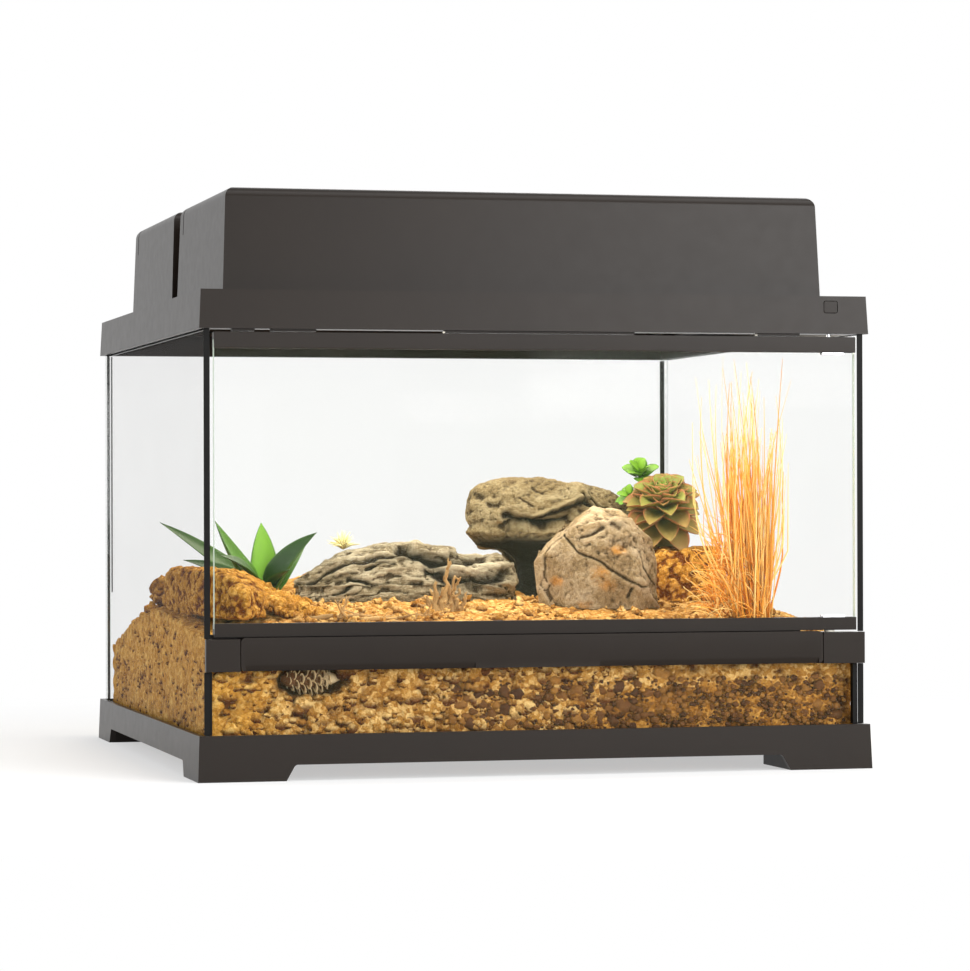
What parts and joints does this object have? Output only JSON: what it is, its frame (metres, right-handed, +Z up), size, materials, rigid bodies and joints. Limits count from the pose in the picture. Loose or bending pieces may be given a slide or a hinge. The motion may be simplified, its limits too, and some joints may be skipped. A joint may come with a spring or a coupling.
{
  "type": "reptile terrarium",
  "caption": "Low glass terrarium with a side-hung front door, screen lid, two lift-off light hoods and a desert landscape.",
  "frame": {"origin": "on the ground, under the centre of the glass box", "axes": "+X to the right of someone facing the door, +Y to the rear, +Z up"},
  "size_m": [0.4606, 0.461, 0.3888],
  "materials": {
    "frame_plastic": "fine satin texture, warm charcoal",
    "pane_glass": "polished float glass",
    "black_seal": "smooth black sealant",
    "pin_steel": "plain",
    "washer_nylon": "natural nylon",
    "mesh_wire": "black coated wire",
    "reflector_sheet": "bright rolled sheet",
    "lamp_porcelain": "white glaze",
    "lamp_glass": "frosted",
    "gravel": "rounded pebbles in brown grit",
    "sand": "dry clumping sand",
    "clay_earth": "crumbly ochre clay",
    "driftwood": "weathered grain",
    "rock": "rough, layered",
    "aloe_leaf": "satin leaf",
    "rosette_leaf": "satin leaf with red edges",
    "sprout_leaf": "satin leaf",
    "straw": "dry straw",
    "air_plant_leaf": "fine pale spines",
    "cone_scale": "dry open scales"
  },
  "bodies": {
    "tank": {"base_frame": "frame_plastic", "floor_glass": "pane_glass", "left_glass": "pane_glass", "right_glass": "pane_glass", "rear_glass": "pane_glass", "sill_glass": "pane_glass", "sealant": "black_seal", "edge_seals": "black_seal", "front_rail": "frame_plastic", "top_frame": "frame_plastic", "lower_hinge_pin": "pin_steel", "hinge_washer": "washer_nylon", "catch_magnets": "pin_steel", "button_spring": "pin_steel", "gravel_layer": "gravel", "sand_bed": "sand", "left_earth_mound": "clay_earth", "rear_earth_mound": "clay_earth", "driftwood_slab": "driftwood", "upper_rock": "rock", "boulder": "rock", "aloe_plant": "aloe_leaf", "rosette_plant": "rosette_leaf", "sprout": "sprout_leaf", "dry_grass": "straw", "air_plant": "air_plant_leaf", "twigs": "driftwood", "pine_cone": "cone_scale"},
    "screen_lid": {"screen_frame": "frame_plastic", "screen_mesh": "mesh_wire"},
    "front_hood": {"front_hood_shell": "frame_plastic", "front_hood_reflector": "reflector_sheet", "front_hood_holders": "lamp_porcelain", "front_hood_lamps": "lamp_glass", "front_hood_gland": "black_seal"},
    "rear_hood": {"rear_hood_shell": "frame_plastic", "rear_hood_reflector": "reflector_sheet", "rear_hood_holders": "lamp_porcelain", "rear_hood_lamps": "lamp_glass", "rear_hood_gland": "black_seal"},
    "door": {"door_glass": "pane_glass", "door_top_trim": "frame_plastic", "door_bottom_trim": "frame_plastic", "hinge_clips": "pin_steel", "catch_plate": "pin_steel"},
    "latch_bar": {"latch_bar": "frame_plastic"},
    "release_button": {"release_button": "frame_plastic"},
    "hinge_pin": {"upper_hinge_pin": "pin_steel"}
  },
  "joints": [
    {"name": "lid_lift", "type": "slide", "parent": "tank", "child": "screen_lid", "axis": [0, 0, 1], "range_m": [0, 0.06]},
    {"name": "front_hood_lift", "type": "slide", "parent": "screen_lid", "child": "front_hood", "axis": [0, 0, 1], "range_m": [0, 0.08]},
    {"name": "rear_hood_lift", "type": "slide", "parent": "screen_lid", "child": "rear_hood", "axis": [0, 0, 1], "range_m": [0, 0.08]},
    {"name": "door_hinge", "type": "hinge", "parent": "tank", "child": "door", "pos_m": [0.2023, -0.2229, 0.19], "axis": [0, 0, 1], "range_deg": [0, 100]},
    {"name": "latch_bar_pivot", "type": "hinge", "parent": "tank", "child": "latch_bar", "pos_m": [0, -0.227, 0.0824], "axis": [-1, 0, 0], "range_deg": [0, 8], "stiffness_Nm_per_rad": 0.6, "springref_deg": -2.86},
    {"name": "release_button_push", "type": "slide", "parent": "tank", "child": "release_button", "axis": [0, 1, 0], "range_m": [0, 0.0018], "stiffness_N_per_m": 400, "springref_m": -0.002, "deforming": ["button_spring"]},
    {"name": "hinge_pin_lift", "type": "slide", "parent": "tank", "child": "hinge_pin", "axis": [0, 0, 1], "range_m": [0, 0.0033]}
  ],
  "couplings": [
    {"joint": "hinge_pin_lift", "follows": "release_button_push", "ratio": 1.7778}
  ]
}
